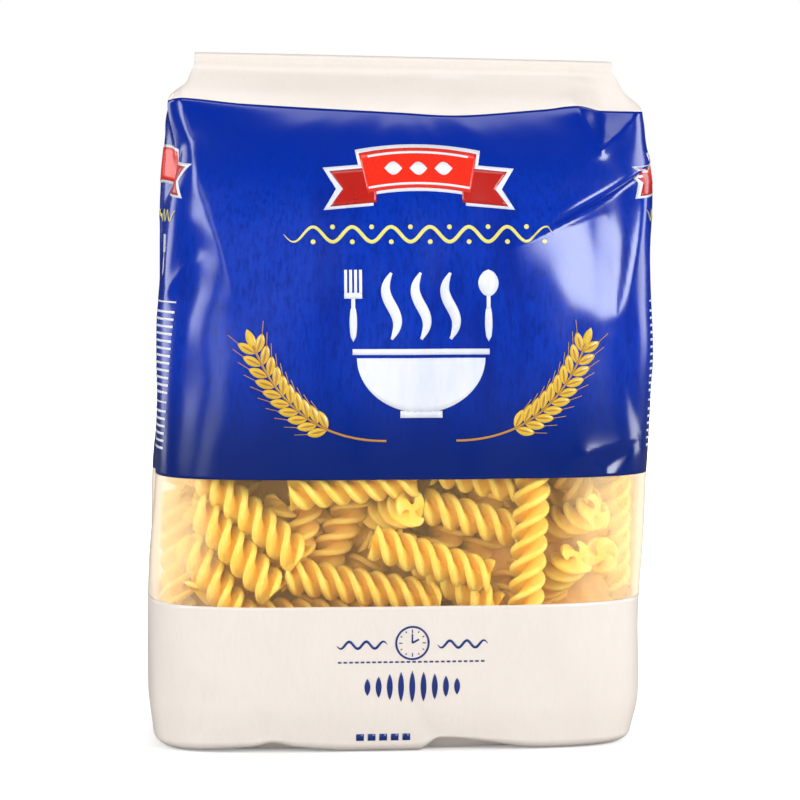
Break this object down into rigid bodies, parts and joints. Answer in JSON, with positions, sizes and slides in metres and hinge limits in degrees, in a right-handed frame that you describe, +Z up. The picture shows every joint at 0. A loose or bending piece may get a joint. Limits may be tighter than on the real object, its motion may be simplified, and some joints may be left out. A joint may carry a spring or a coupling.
{
  "type": "pasta packet",
  "caption": "Stand-up film packet of dry spiral pasta: printed bag with a clear band that shows the pasta, its top folded over to the back.",
  "frame": {"origin": "centre of the packet's footprint, on the surface it stands on", "axes": "+Z up the packet, -Y out of its front, +X to the right as its front is seen"},
  "size_m": [0.1324, 0.0748, 0.1816],
  "materials": {
    "printed_film": "blue printed film, satin gloss",
    "white_film": "warm white printed film, satin gloss",
    "clear_film": "clear film with a faint haze",
    "durum_pasta": "dry durum wheat pasta, satin"
  },
  "bodies": {
    "root": {"bag": "printed_film", "pasta": "durum_pasta"}
  },
  "joints": []
}
